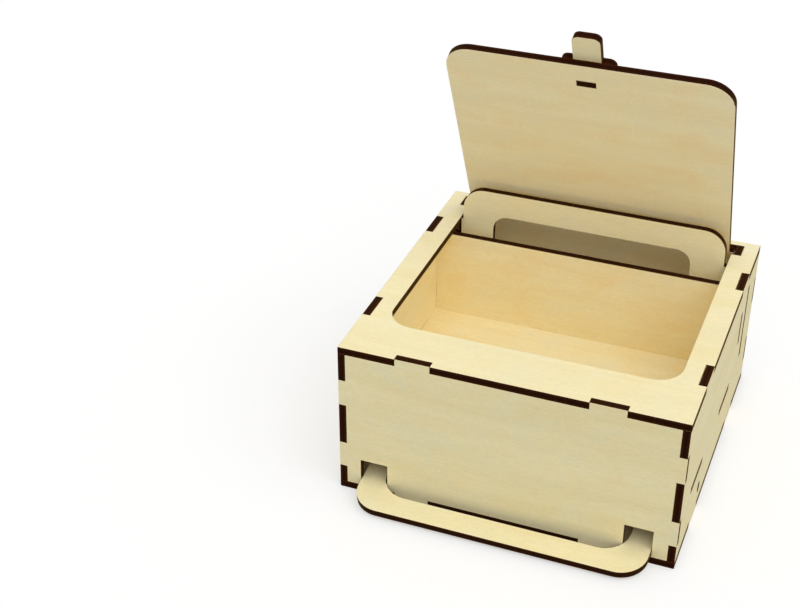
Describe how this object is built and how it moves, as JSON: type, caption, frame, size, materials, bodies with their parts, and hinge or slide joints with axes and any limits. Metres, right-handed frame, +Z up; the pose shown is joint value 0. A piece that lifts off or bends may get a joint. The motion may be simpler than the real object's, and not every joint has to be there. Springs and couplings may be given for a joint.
{
  "type": "press-handle keepsake box",
  "caption": "Laser-cut plywood keepsake box standing open; a press handle at the front tips a lever that lifts a frame and swings up the hinged lid with its T-shaped rest.",
  "frame": {"origin": "middle of the underside of the bottom panel, on the surface that the box stands on", "axes": "+Z up, +X to the right of someone facing the press handle, +Y from the handle towards the hinge side"},
  "size_m": [0.1318, 0.1451, 0.1674],
  "materials": {
    "shell_plywood": "satin",
    "top_plywood": "satin",
    "inner_plywood": "satin",
    "moving_plywood": "satin",
    "lid_plywood": "satin",
    "pin_steel": "satin"
  },
  "bodies": {
    "box": {"bottom_panel": "shell_plywood", "front_panel": "shell_plywood", "back_panel": "shell_plywood", "left_side_panel": "shell_plywood", "right_side_panel": "shell_plywood", "top_panel": "top_plywood", "compartment_floor": "inner_plywood", "rear_partition": "inner_plywood", "left_hinge_plate": "inner_plywood", "right_hinge_plate": "inner_plywood", "left_hinge_pin": "pin_steel", "right_hinge_pin": "pin_steel"},
    "lever": {"press_lever": "moving_plywood"},
    "frame": {"lift_frame": "moving_plywood"},
    "lid": {"lid_panel": "lid_plywood", "lid_rest_plate": "lid_plywood", "lid_grip_plate": "lid_plywood"}
  },
  "joints": [
    {"name": "lid_hinge", "type": "hinge", "parent": "box", "child": "lid", "pos_m": [0, 0.058, 0.06385], "axis": [1, 0, 0], "range_deg": [0, 64.9]},
    {"name": "lever_pivot", "type": "hinge", "parent": "box", "child": "lever", "pos_m": [0, -0.0281, 0.0102], "axis": [1, 0, 0], "range_deg": [-12.2, 0]},
    {"name": "frame_slide", "type": "slide", "parent": "box", "child": "frame", "axis": [0, 0, 1], "range_m": [-0.024, 0]}
  ],
  "couplings": [
    {"joint": "lever_pivot", "follows": "lid_hinge", "ratio": -0.18798},
    {"joint": "frame_slide", "follows": "lid_hinge", "m_per_rad": -0.021187}
  ]
}
